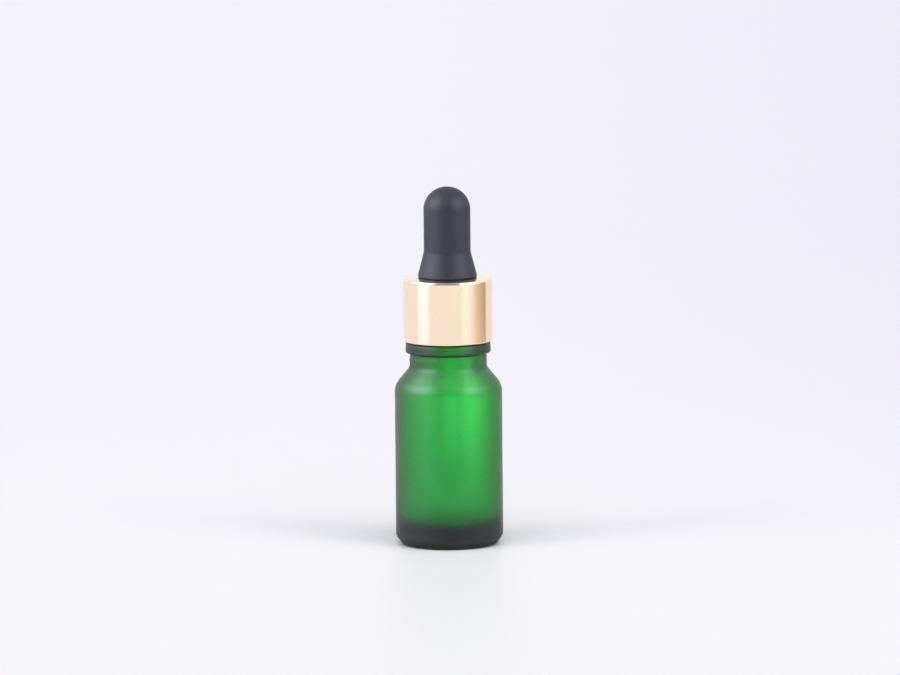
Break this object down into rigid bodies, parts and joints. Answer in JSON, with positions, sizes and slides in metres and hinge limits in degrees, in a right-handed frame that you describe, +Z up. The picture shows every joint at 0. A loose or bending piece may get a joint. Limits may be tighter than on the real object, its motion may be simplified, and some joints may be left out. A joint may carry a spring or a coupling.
{
  "type": "medicine dropper",
  "caption": "Frosted glass dropper bottle with screw neck, metal collar, threaded liner, rubber bulb and glass pipette that unscrews and lifts out.",
  "frame": {"origin": "centre of the ring that the bottle stands on", "axes": "+Z up along the bottle's axis, from the base to the bulb"},
  "size_m": [0.025, 0.025, 0.0838],
  "materials": {
    "bottle_glass": "frosted",
    "liner_plastic": "satin",
    "collar_metal": "polished",
    "bulb_rubber": "matte",
    "pipette_glass": "clear"
  },
  "bodies": {
    "bottle": {"bottle": "bottle_glass"},
    "dropper": {"pipette": "pipette_glass"},
    "collar": {"inner_cap": "liner_plastic", "collar_shell": "collar_metal"},
    "bulb": {"bulb": "bulb_rubber"}
  },
  "joints": [
    {"name": "dropper_lift", "type": "slide", "parent": "bottle", "child": "dropper", "axis": [0, 0, 1], "range_m": [0, 0.06]},
    {"name": "collar_turn", "type": "hinge", "parent": "dropper", "child": "collar", "pos_m": [0, 0, 0.055], "axis": [0, 0, 1], "range_deg": [0, 450]},
    {"name": "bulb_squeeze", "type": "slide", "parent": "dropper", "child": "bulb", "axis": [-1, 0, 0], "range_m": [0, 0.0035], "stiffness_N_per_m": 600, "deforming": ["bulb"]}
  ]
}
